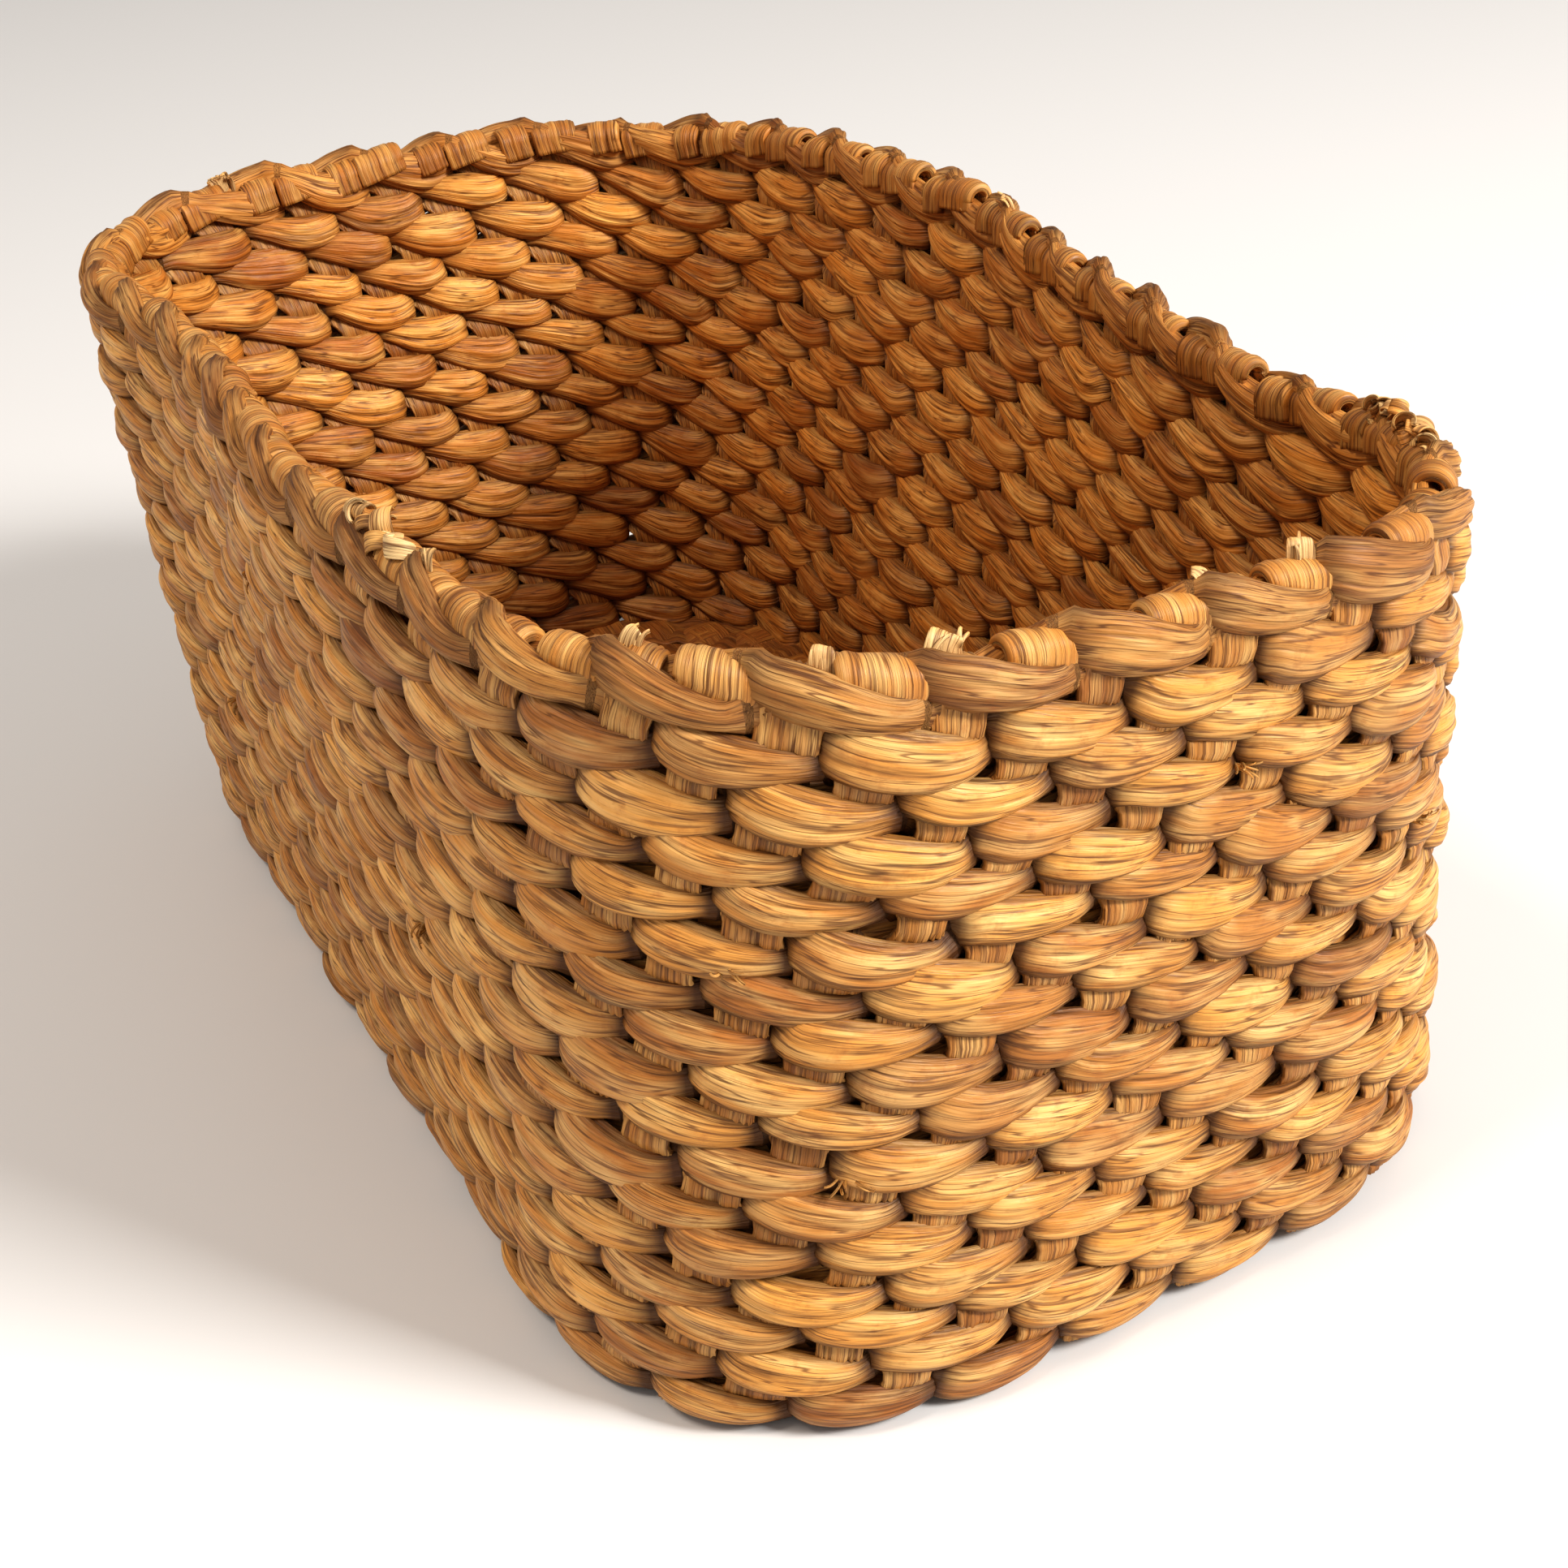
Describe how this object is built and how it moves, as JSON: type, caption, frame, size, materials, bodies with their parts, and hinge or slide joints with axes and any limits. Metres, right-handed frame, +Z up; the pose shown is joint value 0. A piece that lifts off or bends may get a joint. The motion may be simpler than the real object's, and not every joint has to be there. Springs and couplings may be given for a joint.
{
  "type": "woven basket",
  "caption": "Open rectangular basket with rounded corners and flared walls, twined from plant-leaf strands over flat leaf stakes, with a folded rim and a woven base.",
  "frame": {"origin": "centre of the base on the table", "axes": "+Z up, +X along the basket's length, +Y along its width"},
  "size_m": [0.35, 0.1968, 0.15],
  "materials": {
    "weaver_strand": "dried plant strand, matte with a faint waxy sheen, fine lengthwise fibres",
    "border_strand": "dried plant strand, matte, paler and drier than the wall",
    "stake_leaf": "flat dried leaf, ribbed lengthwise, slightly glossy at the folds",
    "base_leaf": "flat dried leaf strips, matte"
  },
  "bodies": {
    "root": {"base_strips_cross": "base_leaf", "base_strips_long": "base_leaf", "border_weaver_a": "border_strand", "border_weaver_b": "border_strand", "course_01_weaver_a": "weaver_strand", "course_01_weaver_b": "weaver_strand", "course_02_weaver_a": "weaver_strand", "course_02_weaver_b": "weaver_strand", "course_03_weaver_a": "weaver_strand", "course_03_weaver_b": "weaver_strand", "course_04_weaver_a": "weaver_strand", "course_04_weaver_b": "weaver_strand", "course_05_weaver_a": "weaver_strand", "course_05_weaver_b": "weaver_strand", "course_06_weaver_a": "weaver_strand", "course_06_weaver_b": "weaver_strand", "course_07_weaver_a": "weaver_strand", "course_07_weaver_b": "weaver_strand", "course_08_weaver_a": "weaver_strand", "course_08_weaver_b": "weaver_strand", "course_09_weaver_a": "weaver_strand", "course_09_weaver_b": "weaver_strand", "course_10_weaver_a": "weaver_strand", "course_10_weaver_b": "weaver_strand", "course_11_weaver_a": "weaver_strand", "course_11_weaver_b": "weaver_strand", "course_12_weaver_a": "weaver_strand", "course_12_weaver_b": "weaver_strand", "course_13_weaver_a": "weaver_strand", "course_13_weaver_b": "weaver_strand", "course_14_weaver_a": "weaver_strand", "course_14_weaver_b": "weaver_strand", "course_15_weaver_a": "weaver_strand", "course_15_weaver_b": "weaver_strand", "course_16_weaver_a": "weaver_strand", "course_16_weaver_b": "weaver_strand", "stakes_back": "stake_leaf", "stakes_back_left_corner": "stake_leaf", "stakes_back_right_corner": "stake_leaf", "stakes_front": "stake_leaf", "stakes_front_left_corner": "stake_leaf", "stakes_front_right_corner": "stake_leaf", "stakes_left": "stake_leaf", "stakes_right": "stake_leaf"}
  },
  "joints": []
}
